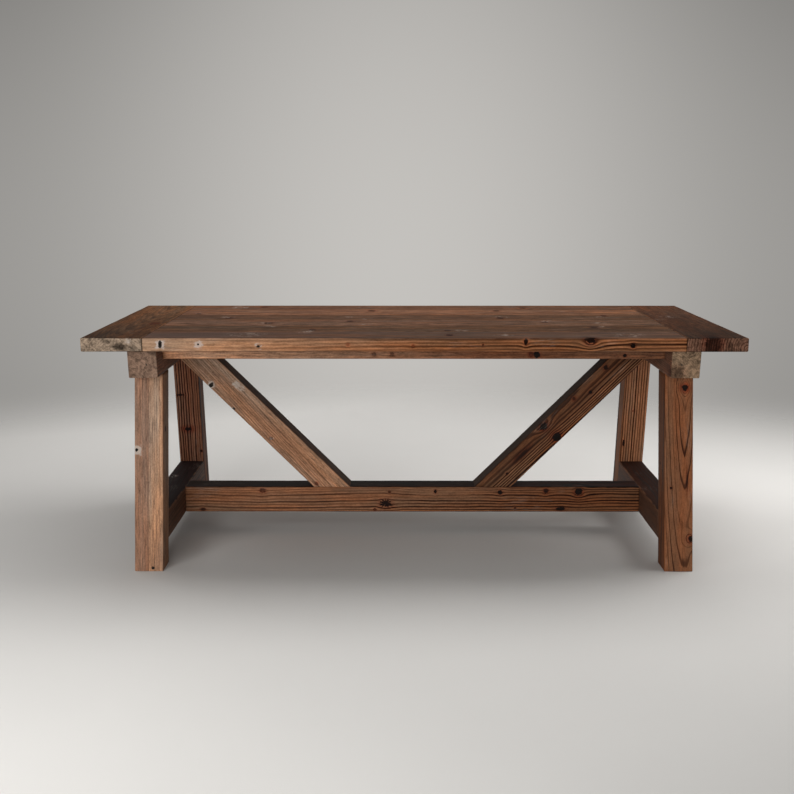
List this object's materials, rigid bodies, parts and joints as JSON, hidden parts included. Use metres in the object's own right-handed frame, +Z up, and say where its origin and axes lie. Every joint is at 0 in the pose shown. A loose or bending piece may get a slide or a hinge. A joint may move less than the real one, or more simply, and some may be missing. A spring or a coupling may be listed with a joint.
{
  "type": "sawbuck table",
  "caption": "Sawbuck dining table: plank top with breadboard ends on two splayed trestles tied by a low stretcher and two diagonal braces.",
  "frame": {"origin": "on the floor under the middle of the top", "axes": "+X along the table, +Y to its back, +Z up"},
  "size_m": [2.134, 0.99, 0.787],
  "materials": {
    "top_boards": "salvaged pine, dark brown stain, waxed, worn with pale scuffs",
    "frame_timber": "salvaged pine beams, brown stain, waxed, with knots and old nail holes",
    "spline_wood": "plain pine, unfinished",
    "peg_wood": "square oak pegs, unfinished",
    "zinc_steel": "zinc plated, dull"
  },
  "bodies": {
    "root": {"plank_front_edge": "top_boards", "plank_front_middle": "top_boards", "plank_front_inner": "top_boards", "plank_back_inner": "top_boards", "plank_back_middle": "top_boards", "plank_back_edge": "top_boards", "breadboard_left": "top_boards", "breadboard_right": "top_boards", "head_left": "frame_timber", "head_right": "frame_timber", "leg_front_left": "frame_timber", "leg_front_right": "frame_timber", "leg_back_left": "frame_timber", "leg_back_right": "frame_timber", "rail_left": "frame_timber", "rail_right": "frame_timber", "stretcher": "frame_timber", "brace_left": "frame_timber", "brace_right": "frame_timber", "apron_front": "frame_timber", "apron_back": "frame_timber", "spline_front_outer": "spline_wood", "spline_front_inner": "spline_wood", "spline_centre": "spline_wood", "spline_back_inner": "spline_wood", "spline_back_outer": "spline_wood", "breadboard_pegs_left": "peg_wood", "breadboard_pegs_right": "peg_wood", "top_screws": "zinc_steel", "brace_screws": "zinc_steel", "stretcher_bolts": "zinc_steel", "bolt_washers": "zinc_steel", "barrel_nuts": "zinc_steel"}
  },
  "joints": []
}
